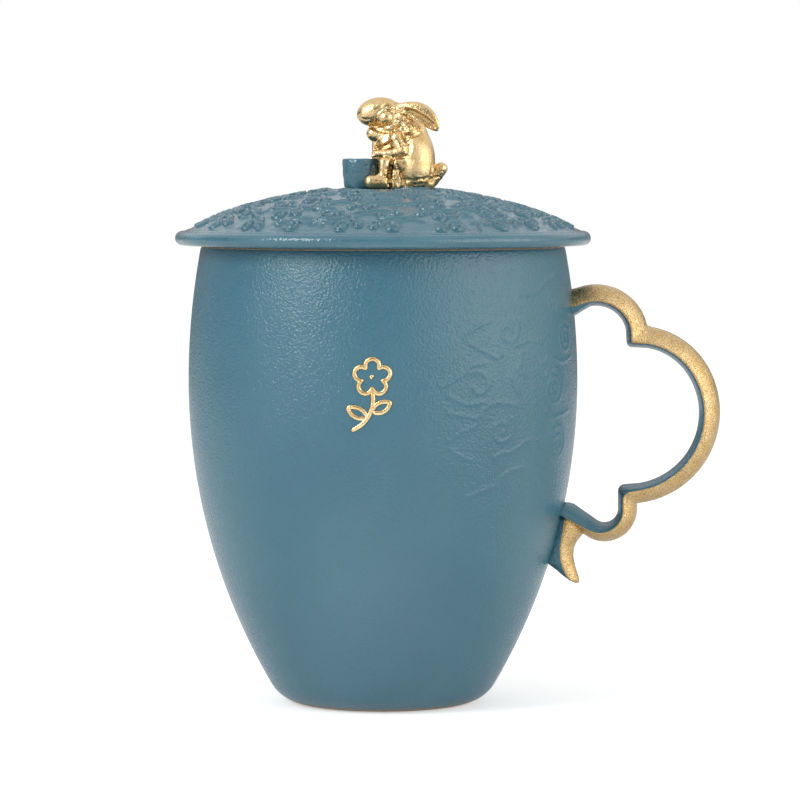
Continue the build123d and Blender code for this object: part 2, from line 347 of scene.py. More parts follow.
def cupTangent(middle, swell):  # degrees at which a rounding with that middle runs into the wall
    return math.degrees(math.atan2(middle[1] - cup["belly"], middle[0] - cup["radius"] + swell))


def cupProfile():  # from the middle of the foot's recess, up the outside and down the inside
    rim, recess, deep, coarse = cup["rim"], cup["recess"], cup["recessDepth"], cup["coarseStep"]
    foot = (cupRadius(cup["footRound"], cup["footRound"]), cup["footRound"])
    lip = (cupRadius(rim - cup["rimRound"], cup["rimRound"]), rim - cup["rimRound"])
    well = cup["floor"] + cup["floorRound"]
    wellMiddle = (cupRadius(well, cup["wall"] + cup["floorRound"]), well)
    footArc = arc(foot, cup["footRound"], -90, cupTangent(foot, cup["lowerSwell"]), 14)
    lipArc = arc(lip, cup["rimRound"], cupTangent(lip, cup["upperSwell"]), 90, 10)
    wellArc = arc(wellMiddle, cup["floorRound"], cupTangent(wellMiddle, cup["lowerSwell"]), -90, 9)
    mouth = cupRadius(rim, cup["wall"])
    profile = [(0, deep), (8, deep), (recess - 0.5, deep), (recess, deep - 0.5), (recess, 0.3)]
    profile += [(recess + 0.3, 0)] + footArc
    profile += cupWall(footArc[-1][1], cup["reliefFoot"], 0, coarse)[1:]
    profile += cupWall(cup["reliefFoot"], lipArc[0][1], 0, cup["fineStep"])[1:]
    profile += lipArc[1:]
    profile += [(mouth + 0.9, rim), (mouth + 0.35, rim - 0.2), (mouth, rim - 0.9)]
    profile += cupWall(wellArc[0][1], rim - 1.6, cup["wall"], 2 * coarse)[::-1]
    return profile + wellArc[1:] + [(6, cup["floor"]), (0, cup["floor"])]


def spiralLine(centre, outer, inner, turns, start, hand):
    count = int(60 * turns)
    line = []
    for i in range(count + 1):
        radius = outer + (inner - outer) * (i / count) ** 0.8
        line.append(Vector(polar(centre, radius, start + hand * 360 * turns * i / count)))
    return line


cupClouds = {  # places are (along the cup from the handle, height)
    "width": 0.66, "height": 0.14, "margin": 0.7, "chart": 42, "low": 46, "high": 100,
    "scrolls": [
        ((34.6, 85.6), 3.3, 0.7, 1.2, 130, 1), ((19.4, 72.6), 4.8, 0.6, 2.3, 40, 1),
        ((13.2, 83.6), 4.4, 0.6, 2.2, 150, -1), ((42.6, 74), 3.4, 1.2, 0.8, 60, 1),
        ((16.4, 60), 4.2, 0.6, 2, 60, 1), ((36.6, 64.2), 3.6, 0.8, 1.3, 140, 1),
        ((18.4, 92), 2.6, 0.6, 1.4, 200, 1),
    ],
    "flows": [
        [(30.5, 93.6), (25.5, 93.7), (21, 95.9), (15.2, 97.7)], [(32.6, 82.5), (28.5, 83.4), (24.5, 82.6)],
        [(39.2, 87.9), (43, 86.6), (44.9, 84.7), (44.6, 83.2), (41.7, 81.8), (38.2, 80.1), (36.4, 80.6)],
        [(40.8, 78.9), (44.2, 78.3), (45.4, 77)], [(51.4, 74.3), (49.8, 74.2), (48, 75.5), (45.8, 76.6)],
        [(49.7, 72.1), (48, 71.2), (45.2, 70), (41, 70.4)], [(56, 71.4), (55.3, 73.1), (53.4, 74.8)],
        [(49.5, 68.1), (46.1, 67.6), (42.8, 66.9), (41.3, 68.6), (38, 70.2), (33, 69.4)],
        [(41.5, 67.6), (43.2, 65.2), (46.3, 64), (49.2, 62)], [(48.7, 60.1), (46.3, 58.7), (43.8, 57.7)],
        [(31, 80.8), (31.5, 78.6), (32.2, 77.2), (30, 75.6)], [(34.3, 75.6), (33.2, 73.8), (30.4, 69)],
        [(24.5, 78.4), (21, 79.4), (16, 78.2), (10, 79.2)],
        [(27, 69.6), (22, 66.2), (16.5, 66.4), (12, 67.2)],
        [(38.3, 58), (36.2, 59), (33.4, 59.3), (28.6, 61.5), (24, 61.2)],
        [(44.2, 49.7), (40.3, 50.9), (37.2, 51.9), (35.2, 54), (30, 55.4), (22, 54.2)],
    ],
}


def cupChart(vert):  # (along the cup from the handle, height), the same on both sides
    return (abs(math.atan2(vert.co.y, vert.co.x)) * cupClouds["chart"], vert.co.z)


def onCupWall(vert):
    outside = fromAxis(vert.co) > cupRadius(vert.co.z) - 0.2
    return outside and cupClouds["low"] < vert.co.z < cupClouds["high"]


def raiseCupClouds(bm):
    lines = [throughPoints(flow) for flow in cupClouds["flows"]]
    lines += [spiralLine(*scroll) for scroll in cupClouds["scrolls"]]
    tree = strokeTree(lines)
    width = cupClouds["width"]
    wide = width + cupClouds["margin"]
    near = {vert for vert in bm.verts if onCupWall(vert) and tree.find((*cupChart(vert), 0))[2] < wide}
    edges = [edge for edge in bm.edges if edge.verts[0] in near and edge.verts[1] in near]
    bmesh.ops.subdivide_edges(bm, edges=edges, cuts=2, use_grid_fill=True)  # finer along the strokes only
    for vert in bm.verts:
        if onCupWall(vert):
            gap = tree.find((*cupChart(vert), 0))[2] / width
            lift = cupClouds["height"] * (1 - gap * gap) ** 1.5 if gap < 1 else 0
            stretch = (cupRadius(vert.co.z) + lift) / fromAxis(vert.co)
            vert.co.x *= stretch
            vert.co.y *= stretch


def paintCup(bm):  # bare clay at the rim and the foot, liner glaze inside
    for face in bm.faces:
        middle = face.calc_center_median()
        inside = middle.z > cup["floor"] - 0.1 and fromAxis(middle) < cupRadius(middle.z, cup["wall"]) + 0.6
        if middle.z > cup["rim"] - cup["clayLine"] or middle.z < cup["clayFoot"]:
            face.material_index = 1
        elif inside:
            face.material_index = 2


def makeCup():
    bm = bmesh.new()
    turn(bm, cupProfile(), cup["steps"], cup["sectors"])
    raiseCupClouds(bm)
    paintCup(bm)
    makePiece(bm, "cup", "mug", "mug_body", [satin, clay, liner])


makeCup()


# emblem: a raised gilt ornament on the front, a sprig of blossom

emblem = {  # places are (across, up) from the middle of the ornament
    "height": 72.4, "halfWidth": 0.5, "rise": 0.36, "sink": 0.3, "tip": 0.8,
    "flower": (0.6, 3.7), "heart": 0.2, "petals": 5, "petal": 1.5, "petalReach": 2.5, "petalSpan": 128,
    "stem": [(0.6, 0.5), (0.8, -1.6), (0.1, -4.2), (-1.5, -6.4), (-4, -8)],
    "leafRight": [(0.5, -3.6), (1.5, -2.2), (2.9, -1.6), (4.4, -1.8), (3.8, -3.2), (2.4, -4), (0.6, -3.9)],
    "leafLeft": [(-0.3, -5), (-1.5, -3.5), (-3, -2.8), (-4.6, -3), (-3.8, -4.5), (-2.3, -5.2),
                 (-0.5, -5.2)],
}


def emblemStrokes():
    arcs = []
    for i in range(emblem["petals"]):
        out = 90 + 360 * i / emblem["petals"]
        middle = polar(emblem["flower"], emblem["petalReach"], out)
        arcs.append(arc(middle, emblem["petal"], out - emblem["petalSpan"], out + emblem["petalSpan"], 40))
    arcs.append(arc(emblem["flower"], emblem["heart"], 0, 300, 12))
    strokes = [[Vector(p) for p in line] for line in arcs]
    return strokes + [throughPoints(emblem[name]) for name in ("stem", "leafRight", "leafLeft")]


def strokeRings(stroke):  # half-round rings along a stroke, narrowed at its ends
    runs = [0]
    for a, b in zip(stroke, stroke[1:]):
        runs.append(runs[-1] + (b - a).length)
    top = [(s, emblem["rise"] * (1 - s * s) ** 0.5) for s in (-0.97, -0.8, -0.45, 0, 0.45, 0.8, 0.97)]
    section = [(-1, -emblem["sink"])] + top + [(1, -emblem["sink"])]
    rings = []
    for i, p in enumerate(stroke):
        heading = (stroke[min(i + 1, len(stroke) - 1)] - stroke[max(i - 1, 0)]).normalized()
        across = Vector((-heading.y, heading.x))
        ends = min(runs[i], runs[-1] - runs[i])
        full = math.sqrt(max(0.06, 1 - max(0, 1 - ends / emblem["tip"]) ** 2))
        ring = []
        for s, lift in section:
            spot = p + across * s * emblem["halfWidth"] * full
            height = emblem["height"] + spot.y
            reach = cupRadius(height)
            angle = -math.pi / 2 + spot.x / reach
            reach += lift * (full if lift > 0 else 1)
            ring.append((reach * math.cos(angle), reach * math.sin(angle), height))
        rings.append(ring)
    return rings


def makeEmblem():
    bm = bmesh.new()
    for stroke in emblemStrokes():
        skin(bm, strokeRings(stroke))
    bmesh.ops.recalc_face_normals(bm, faces=bm.faces)
    recess = bm.verts.layers.float.new("recess")
    for vert in bm.verts:  # painted shade where a stroke meets the glaze
        vert[recess] = smoothStep(0.2, 0.02, fromAxis(vert.co) - cupRadius(vert.co.z))
    makePiece(bm, "emblem", "mug", None, [brightGold])


makeEmblem()


# lid: a turned dome with a beaded edge, all over cloud scrolls between the knob's flat and the bead

lid = {
    "radius": nodeBox["lid"][1].x, "bead": 1.55, "crease": 105, "crown": 113.5, "shoulder": 16,
    "top": cup["rim"] + 13.2, "pad": 12, "wall": 3.2, "collar": 7, "collarWall": 2.4, "collarGap": 0.6,
    "domeDepth": 1.8, "rimDepth": 1.2, "hiddenRing": 18,  # for the faces inside the lid's thickness
    "step": 0.28, "steps": 704, "sectors": 32, "rimSteps": 288, "rimSectors": 12,
    "seat": (7, 4.8, 5.2, 0.5),  # middle, half length, half width and height of the figure's step
}


def crownHeight(radius, drop=0):
    return lid["top"] - lid["crown"] + math.sqrt((lid["crown"] - drop) ** 2 - radius ** 2)


def tangentArc(start, heading, end, count):  # leaves start at that heading and bends evenly to end
    chord = Vector((end[0] - start[0], end[1] - start[1]))
    bend = math.atan2(chord.y, chord.x) - heading
    radius = chord.length / (2 * math.sin(bend))
    centre = (start[0] - radius * math.sin(heading), start[1] + radius * math.cos(heading))
    angles = [heading + 2 * bend * i / (count - 1) for i in range(count)]
    return [(centre[0] + radius * math.sin(a), centre[1] - radius * math.cos(a)) for a in angles]


padHeight = crownHeight(lid["pad"])
beadMiddle = (lid["radius"] - lid["bead"], cup["rim"] + lid["bead"])
crease = polar(beadMiddle, lid["bead"], lid["crease"])
turnIn = lid["radius"] - lid["shoulder"]  # where the crown bends down to the bead
collar = cupRadius(cup["rim"], cup["wall"]) - lid["collarGap"]
bore = collar - lid["collarWall"]


def domeProfile():  # the carved top, closed by a plain face inside the lid's thickness
    step, depth = lid["step"], lid["domeDepth"]
    count = round((turnIn - lid["pad"]) / step)
    crown = [lid["pad"] + (turnIn - lid["pad"]) * i / count for i in range(count + 1)]
    profile = [(0, padHeight), (6, padHeight), (lid["pad"] - 0.4, padHeight)]
    profile += [(r, crownHeight(r)) for r in crown]
    heading = -math.asin(turnIn / lid["crown"])
    profile += tangentArc(profile[-1], heading, crease, round(1.05 * lid["shoulder"] / step))[1:]
    profile += [(crease[0] - 0.7, crease[1] - 0.9)]
    profile += [(r, crownHeight(r, depth)) for r in (turnIn, lid["hiddenRing"])]
    return profile + [(0, padHeight - depth)]


def rimProfile():  # the bead, the collar and the underside
    rim, depth = cup["rim"], lid["rimDepth"]
    low = rim - lid["collar"]
    profile = [(0, padHeight - depth)]
    profile += [(r, crownHeight(r, depth)) for r in (lid["hiddenRing"], turnIn)]
    profile += [(crease[0] - 0.9, crease[1] - 0.6)] + arc(beadMiddle, lid["bead"], lid["crease"] + 6, -90, 18)
    profile += [(collar + 2, rim), (collar + 0.3, rim), (collar, rim - 0.3)]
    profile += [(collar, low + 0.8), (collar - 0.25, low + 0.25), (collar - 0.8, low)]
    profile += [(bore + 0.8, low), (bore + 0.25, low + 0.25), (bore, low + 0.8)]
    domes = [bore * (1 - i / 12) for i in range(13)]
    return profile + [(r, crownHeight(r, lid["wall"])) for r in domes]


lidClouds = {
    "lip": (0.42, 1.05), "relief": 0.6, "ground": -0.17,  # lip: steep and easy side of a stroke
    "swell": 0.12, "swellScale": 0.4, "poolReach": 1.3, "poolTone": 0.8, "seed": 5,
    "rings": [(41.5, 22, 4.7), (36.4, 19, 4.9), (31.2, 16, 5), (25.8, 13, 4.8), (20.8, 11, 4.4),
              (16.6, 8, 4), (14, 6, 2.6)],  # radius, number of scrolls and their size
    "scroll": (0.5, 0.08, 1.5), "smallScroll": (0.3, 0.08, 1.1), "smallPlace": (-0.72, -0.2),  # for size 1
    "trails": [[(0.1, -0.5), (0.55, -0.42), (0.95, -0.62), (1.45, -0.4)],
               [(-0.35, -0.62), (0.2, -0.85), (0.75, -0.8), (1.2, -0.95)]],
}


def cloudHead(size, hand):  # a scroll, two trailing lines and a smaller scroll, each high on its left
    side = hand * size
    start, smallStart = (200, -20) if hand > 0 else (-20, 200)
    outer, inner, turns = lidClouds["scroll"]
    lines = [spiralLine((0, 0), outer * size, inner * size, turns, start, hand)]
    for trail in lidClouds["trails"]:
        lines.append(throughPoints([(x * side, y * size) for x, y in trail]))
    outer, inner, turns = lidClouds["smallScroll"]
    x, y = lidClouds["smallPlace"]
    small = spiralLine((x * side, y * size), outer * size, inner * size, turns, smallStart, -hand)
    return [line[::hand] for line in lines] + [small[::-hand]]


def cloudLines():  # plan view: rings of scrolls, turned and mirrored in a fixed irregular order
    draw = random.Random(lidClouds["seed"])
    lines = []
    for ring, (radius, count, size) in enumerate(lidClouds["rings"]):
        for i in range(count):
            angle = math.tau * (i + 0.5 * (ring % 2) + draw.uniform(-0.12, 0.12)) / count
            hand = draw.choice((-1, 1))
            scale = size * draw.uniform(0.9, 1.1)
            middle = Vector((radius * math.cos(angle), radius * math.sin(angle)))
            spin = Matrix.Rotation(angle - math.pi / 2 + draw.uniform(-0.5, 0.5), 2)
            for line in cloudHead(scale, hand):
                lines.append([middle + spin @ p for p in line])
    return lines


def strokeSide(lines):  # signed distance to the nearest stroke, positive on its left
    tree = strokeTree(lines)
    headings = []
    for line in lines:
        headings += [b - a for a, b in zip(line, line[1:])] + [line[-1] - line[-2]]

    def measure(x, y):
        near, index, gap = tree.find((x, y, 0))
        left = headings[index].cross(Vector((x, y)) - near.xy)
        return math.copysign(gap, left)
    return measure


def raiseLidClouds(bm):
    measure = strokeSide(cloudLines())
    crest = bm.verts.layers.float.new("crest")
    outer = lid["radius"] - 2 * lid["bead"]
    steep, easy = lidClouds["lip"]
    for vert in bm.verts:
        reach = fromAxis(vert.co)
        if vert.normal.z < 0.4 or vert.co.z < cup["rim"] + lid["bead"] or reach < lid["pad"] - 0.1:
            continue
        fade = smoothStep(lid["pad"], lid["pad"] + 0.8, reach)
        fade *= 1 - smoothStep(outer - 0.4, outer + 0.5, reach)
        if fade == 0:
            continue
        side = measure(vert.co.x, vert.co.y)
        ridge = max(0, 1 - side / easy) ** 1.3 if side > 0 else smoothStep(-steep, 0.1, side)
        pool = smoothStep(-lidClouds["poolReach"], -steep, side) * smoothStep(0, -steep, side)  # under a lip
        swell = lidClouds["swell"] * noise.noise(vert.co * lidClouds["swellScale"])
        vert[crest] = fade * (ridge - lidClouds["poolTone"] * pool)
        vert.co += vert.normal * fade * (lidClouds["ground"] + swell + lidClouds["relief"] * ridge)


def seatStep(bm):  # the low oval step that carries the figure
    middle, halfLength, halfWidth, rise = lid["seat"]
    seat = bmesh.new()
    profile = [(0, rise), (0.9, rise), (0.97, 0.9 * rise), (1, 0.7 * rise), (1, -0.3), (0, -0.3)]
    turn(seat, [(r, padHeight + z) for r, z in profile], 72)
    bmesh.ops.scale(seat, verts=seat.verts, vec=(halfLength, halfWidth, 1))
    bmesh.ops.translate(seat, verts=seat.verts, vec=(middle, 0, 0))
    mesh = toMesh(seat, "seat")
    bm.from_mesh(mesh)
    bpy.data.meshes.remove(mesh)


def makeDome():
    bm = bmesh.new()
    turn(bm, domeProfile(), lid["steps"], lid["sectors"])
    raiseLidClouds(bm)
    seatStep(bm)
    makePiece(bm, "lid_dome", "lid", "lid", [gloss])


def makeRim():
    bm = bmesh.new()
    turn(bm, rimProfile(), lid["rimSteps"], lid["rimSectors"])
    for face in bm.faces:  # liner glaze under the dome
        if face.normal.z < -0.5 and fromAxis(face.calc_center_median()) < bore:
            face.material_index = 1
    makePiece(bm, "lid_rim", "lid", "lid", [gloss, liner])


makeDome()
makeRim()


# handle: a lens section carried along three lobes, mitred at two cusps, with a horn under the lower root

handle = {
    "depth": 11.4, "upper": 4.9, "lower": 4.4, "fingerCrown": 1.2, "rootCrown": 3.3, "sink": 1.5,
    "flare": 1.7, "flareRun": 5.6, "shoulder": 45.2, "levelling": 0.45, "upperLobe": ((48.2, 83.2), 9.3),
    "rootAngle": 106, "rootRun": 4.4, "mainUpper": 15.9, "mainLower": 18.4, "mainTurn": 32,
    "lowerLobe": 5.2, "lowerDrop": 3.45, "armRise": 35, "armRun": 8, "step": 0.6,
    "goldEnd": 41.4, "goldEndTop": 50, "edgeShade": 0.75,
    "cuspStops": (13, 80, -81), "cuspRun": (2.6, 3),  # the lobes stop short of the cusps
    "upperCorner": (-1.25, -1.25), "lowerCorner": (-0.6, 1.2),  # rounding inside, middle and edge
}


def lensSection(thickness, crown, outerCount=22, innerCount=12):  # (outward, across, is finger side)
    half = handle["depth"] / 2
    edge = crown - thickness / 2
    outerRise = thickness / 2 - edge
    outerRadius = (half ** 2 + outerRise ** 2) / (2 * outerRise)
    outerSpan = math.degrees(math.asin(half / outerRadius))
    innerRadius = (half ** 2 + crown ** 2) / (2 * crown)
    innerSpan = math.degrees(math.asin(half / innerRadius))
    outer = arc((thickness / 2 - outerRadius, 0), outerRadius, -outerSpan, outerSpan, outerCount)
    inner = arc((innerRadius - thickness / 2, 0), innerRadius, 180 - innerSpan, 180 + innerSpan, innerCount)
    return [(u, v, 0) for u, v in outer] + [(u, v, 1) for u, v in inner[1:-1]]


def lobeFrames(centre, radius, start, end, thickness, endThickness=None):
    count = max(2, round(abs(math.radians(end - start)) * radius / handle["step"]))
    frames = []
    for i in range(count + 1):
        angle = start + (end - start) * i / count
        size = thickness + ((endThickness or thickness) - thickness) * i / count
        frames.append((polar(centre, radius, angle), polar((0, 0), 1, angle), size, None))
    return frames


def cornerFrames(cusp, mitre, start, end, thickness, rounding):  # mitred outside, turned round inside
    headings = [polar((0, 0), 1, start + (end - start) * i / 6) for i in range(7)]
    return [(cusp, mitre, thickness, (heading, rounding)) for heading in headings]


def handleFrames():  # (place in the loop's plane, outward direction, thickness, rounding of an inside corner)
    upperMiddle, upperRadius = handle["upperLobe"]
    upperStop, mainStart, mainStop = handle["cuspStops"]
    upper, lower, lobe = handle["upper"], handle["lower"], handle["lowerLobe"]
    rootAngle, mainTurn, rise = handle["rootAngle"], handle["mainTurn"], handle["armRise"]
    cusp1 = polar(upperMiddle, upperRadius, 0)
    mainUpper = (cusp1[0], cusp1[1] - handle["mainUpper"])
    mainLower = polar(mainUpper, handle["mainLower"] - handle["mainUpper"], mainTurn + 180)
    cusp2 = polar(mainLower, handle["mainLower"], -90)
    lowerMiddle = (cusp2[0] - lobe, cusp2[1] - handle["lowerDrop"])
    root = polar(upperMiddle, upperRadius, rootAngle)
    armStart = polar(lowerMiddle, lobe, -90 - rise)
    rootOut = polar((0, 0), 1, rootAngle)
    runs = [handle["rootRun"] - 1 - handle["step"] * i for i in range(6)]
    frames = [(polar(root, run, rootAngle + 90), rootOut, upper, None)
              for run in [handle["rootRun"]] + [r for r in runs if r > 0.2]]
    frames += lobeFrames(upperMiddle, upperRadius, rootAngle, upperStop, upper)
    frames += cornerFrames(cusp1, (1, 1), 0, 90, upper, handle["upperCorner"])
    frames += lobeFrames(mainUpper, handle["mainUpper"], mainStart, mainTurn, upper)
    frames += lobeFrames(mainLower, handle["mainLower"], mainTurn, mainStop, upper, lower + 0.1)[1:]
    frames += cornerFrames(cusp2, (1, -1), -90, 0, lower, handle["lowerCorner"])
    frames += [((cusp2[0], cusp2[1] - d), (1, 0), lower, None) for d in handle["cuspRun"]]
    frames += lobeFrames(lowerMiddle, lobe, 0, -90 - rise, lower)
    arm, armOut = handle["armRun"], polar((0, 0), 1, 270 - rise)
    count = round(arm / handle["step"])
    places = [polar(armStart, arm * i / count, 180 - rise) for i in range(1, count + 1)]
    return frames + [(place, armOut, lower, None) for place in places]


def intoWall(p):  # moves a point along x to stop inside the cup's wall
    p.x = math.sqrt((cupRadius(p.z) - handle["sink"]) ** 2 - p.y ** 2)


def loopRings():
    frames = handleFrames()
    root = Vector(frames[0][0])
    half = handle["depth"] / 2
    cusps = [i for i, frame in enumerate(frames) if frame[3]]
    rings = []
    for i, (place, out, thickness, corner) in enumerate(frames):
        flare = handle["flare"] * max(0, 1 - (Vector(place) - root).length / handle["flareRun"]) ** 1.3
        past = (i - cusps[-1]) / (len(frames) - 1 - cusps[-1])  # from the lower cusp to the cup
        crown = handle["fingerCrown"]
        crown += (handle["rootCrown"] - crown) * smoothStep(0.15, 1, past)
        ring = []
        for u, v, inner in lensSection(thickness, crown):
            x, z = place[0] + u * out[0], place[1] + u * out[1]
            if corner and u < 0:
                heading, (middle, edge) = corner
                pull = middle + (edge - middle) * (v / half) ** 2
                reach = max(0, pull - u)
                if reach:
                    x = place[0] + pull * out[0] - heading[0] * reach
                    z = place[1] + pull * out[1] - heading[1] * reach
            if inner and past > 0.5 and z > handle["shoulder"]:  # levels out where it meets the cup
                z = handle["shoulder"] + handle["levelling"] * (z - handle["shoulder"])
            ring.append(Vector((x, v, z - flare * inner)))
        rings.append(ring)
    for p in rings[0] + rings[-1]:
        intoWall(p)
    return rings


tail = {  # curves are (height, across), from the top down
    "depth": 9, "tipDepth": 0.55, "web": 0.7, "tip": 27.3, "top": 42.2, "rows": 40, "points": 15,
    "roundFrom": 0.93,  # rounds the tip over the last of its length
    "back": [(43, 41.5), (40.8, 41), (38, 40.55), (35.4, 40.2), (33.1, 40.3), (30.9, 40.8), (29, 41.7),
             (27.8, 42.9), (27.3, 43.8)],
    "front": [(43, 46.4), (40.5, 46.3), (39.2, 45.9), (38.3, 45.3), (37.5, 44.65), (36.5, 43.9), (35.2, 43.4),
              (33.5, 43.2), (32.3, 43.4), (30.7, 43.75), (28.5, 44.5), (27.8, 44.65), (27.3, 44.4)],
    "under": [(31.9, 37.4), (30.4, 39.4), (29, 41), (27.8, 42.6), (27.3, 43.7)],
}


def tailRings():
    top, tip = tail["top"], tail["tip"]
    rings = []
    for i in range(tail["rows"] + 1):
        height = top + (tip - top) * (i / tail["rows"]) ** 0.92
        back, front = readCurve(tail["back"], height), readCurve(tail["front"], height)
        fall = (top - height) / (top - tip)
        half = tail["depth"] / 2 * (1 + (tail["tipDepth"] - 1) * fall ** 2)
        past = (fall - tail["roundFrom"]) / (1 - tail["roundFrom"])
        if past > 0:
            half *= math.sqrt(max(0.1, 1 - past ** 2))
        rise = front - back
        radius = (half ** 2 + rise ** 2) / (2 * rise)
        span = math.degrees(math.atan2(half, radius - rise))
        outer = arc((front - radius, 0), radius, -span, span, tail["points"])
        ring = [Vector((x, y, height)) for x, y in outer]
        inner = [Vector((back, y * tail["web"], height)) for y in (half, -half)]
        for p in inner:
            if height > tail["under"][0][0]:
                intoWall(p)
            else:
                p.x = readCurve(tail["under"], height)
        middles = [ring[-1].lerp(inner[0], 0.5), ring[0].lerp(inner[1], 0.5)]
        rings.append(ring + [middles[0], inner[0], inner[1], middles[1]])
    return rings


def makeHandle():
    bm = bmesh.new()
    section = lensSection(handle["upper"], handle["fingerCrown"])
    skin(bm, loopRings(), [inner for u, v, inner in section])
    for face in bm.faces:
        middle = face.calc_center_median()
        if middle.z < handle["goldEndTop"] and middle.x < handle["goldEnd"]:  # glaze over the lower root
            face.material_index = 1
    skin(bm, tailRings(), [0] * tail["points"] + [1] * 4)
    closeUp(bm)
    recess = bm.verts.layers.float.new("recess")
    for vert in bm.verts:  # painted shade along the line where the gold ends
        if len({face.material_index for face in vert.link_faces}) == 2:
            vert[recess] = handle["edgeShade"]
    makePiece(bm, "handle_loop", "mug", "handle", [gold, satin])


makeHandle()


# knob: a rabbit that pounds in a mortar, modelled from joined balls and limbs, then carved

knob = {
    "base": 0.05, "voxel": 0.17, "smoothing": 6, "pitScale": 1.9, "pitDepth": 0.03, "roughDepth": 0.18,
    "mattFront": (4.6, 6.4), "mattRear": (12.2, 11.2), "mattTop": (12.6, 11.2),  # edges of the satin back
}


def ball(bm, middle, radius):
    bmesh.ops.create_icosphere(bm, subdivisions=4, radius=radius, matrix=Matrix.Translation(middle))


def egg(bm, middle, reach, girth, rise, width):  # a long ball, its +X end tipped up by rise degrees
    shape = Matrix.Translation(middle) @ Matrix.Rotation(-math.radians(rise), 4, "Y")
    shape @= Matrix.Diagonal((reach, width, girth, 1))
    bmesh.ops.create_icosphere(bm, subdivisions=4, radius=1, matrix=shape)


def limb(bm, start, end, startRadius, endRadius):
    start, end = Vector(start), Vector(end)
    run = end - start
    ball(bm, start, startRadius)
    ball(bm, end, endRadius)
    place = Matrix.Translation((start + end) / 2) @ run.to_track_quat("Z", "Y").to_matrix().to_4x4()
    bmesh.ops.create_cone(bm, cap_ends=True, segments=32, radius1=startRadius, radius2=endRadius,
                          depth=run.length, matrix=place)


ears = {
    "thick": 0.85, "hollow": 0.75,
    "near": {"root": (2.7, -1.5, 18.7), "tip": (12.9, -3.3, 13.7), "width": 2.05, "arch": 1.35, "side": -1},
    "far": {"root": (2.6, 1.5, 18.5), "tip": (12.5, 3.3, 13.2), "width": 1.95, "arch": 1.3, "side": 1},
}


def earAxes(ear):
    run = Vector(ear["tip"]) - Vector(ear["root"])
    axis = run.normalized()
    outward = (Vector((0, ear["side"], 0)) - axis * ear["side"] * axis.y).normalized()
    across = outward.cross(axis)
    return axis, across * math.copysign(1, across.z), outward, run.length


def addEar(bm, ear):  # a flat leaf, widest past its middle and arched upwards
    axis, across, outward, length = earAxes(ear)
    made = bmesh.ops.create_icosphere(bm, subdivisions=5, radius=1)["verts"]
    for vert in made:
        along = vert.co.x
        leaf = 1 + 0.2 * along - 0.2 * along * along
        rise = ear["arch"] * (1 - along * along) + vert.co.y * ear["width"] * leaf
        vert.co = (Vector(ear["root"]) + axis * (along + 1) * length / 2 + across * rise
                   + outward * vert.co.z * ears["thick"])


def addRabbit(bm):  # faces the mortar, sitting; heights are from the lid's flat
    egg(bm, (7.15, 0, 6.9), 7.9, 4.65, 95, 5.4)  # trunk
    limb(bm, (2.2, 0, 16.6), (6.6, 0, 12.2), 2.75, 3.5)  # nape
    egg(bm, (-1.4, 0, 17.4), 4.6, 3.2, 15, 3)  # head
    ball(bm, (0.9, 0, 17.7), 2.75)
    limb(bm, (1.6, 0, 10.2), (2.2, 0, 13), 3.2, 2.7)  # breast
    ball(bm, (3.6, 0, 3.4), 3.6)  # lap
    limb(bm, (11.1, 0, 1.9), (13.2, 0, 4.6), 1.5, 1.45)  # tail
    limb(bm, (-2, 0, 12.5), (1, 0, 12), 1.75, 2.4)  # fist
    limb(bm, (-1.5, 0, 11.5), (-1.7, 0, 5.6), 1, 0.75)  # pestle
    limb(bm, (0.5, 0, 8.5), (0.5, 0, 1.4), 1.5, 1.6)  # belly
    egg(bm, (3.3, 0, 2.6), 3.3, 4.6, 0, 5.4)
    limb(bm, (5.2, 4.6, 8.3), (-1.6, 1.4, 9), 1.05, 0.85)  # far forearm
    limb(bm, (5.3, -4.6, 8.3), (0.8, -4.1, 8), 1.05, 0.85)  # near forearm
    limb(bm, (0.8, -4.1, 8), (-1.5, -2.6, 8.1), 0.85, 0.8)
    for side in (-1, 1):
        ball(bm, (0.9, 1.45 * side, 16), 1.85)  # cheek
        ball(bm, (4.2, 1.6 * side, 16.1), 1.75)  # neck
        ball(bm, (6.2, 2.3 * side, 13), 2)  # shoulder
        limb(bm, (3.4, 3.3 * side, 11.2), (4.7, 4.4 * side, 8.7), 1.9, 1.45)  # upper arm
        egg(bm, (7.6, 2.4 * side, 4.7), 5.1, 4, 100, 3.7)  # haunch
        egg(bm, (7.4, 1.9 * side, 6.8), 6.2, 4.2, 97, 3.9)  # flank
        ball(bm, (3.1, 0.7 * side, 18.2), 1.4)  # root of the ear
        limb(bm, (5.4, 3.3 * side, 5.4), (1, 4.6 * side, 6), 2.4, 1.35)  # thigh
        limb(bm, (0.75, 5 * side, 5.9), (0.5, 5.3 * side, 2.9), 1.45, 1.1)  # shin
        limb(bm, (0.8, 5.3 * side, 1.6), (-2.25, 5.6 * side, 1.65), 1.5, 1.6)  # foot
        ball(bm, (-0.4, 5.4 * side, 2.3), 1.25)
        limb(bm, (2.6, 3.7 * side, 4.6), (3, 3.8 * side, 1), 1.6, 1.6)  # calf
        limb(bm, (6, 3.4 * side, 1.2), (10.4, 2.2 * side, 1.3), 1.6, 1.5)  # rump
    for i in range(3):  # fingers over the mortar's lip
        limb(bm, (-0.7, -3.1 + 0.8 * i, 8.2 + 0.3 * i), (-2.1, -2.9 + 0.9 * i, 7.4 + 0.3 * i), 0.6, 0.45)
    addEar(bm, ears["near"])
    addEar(bm, ears["far"])


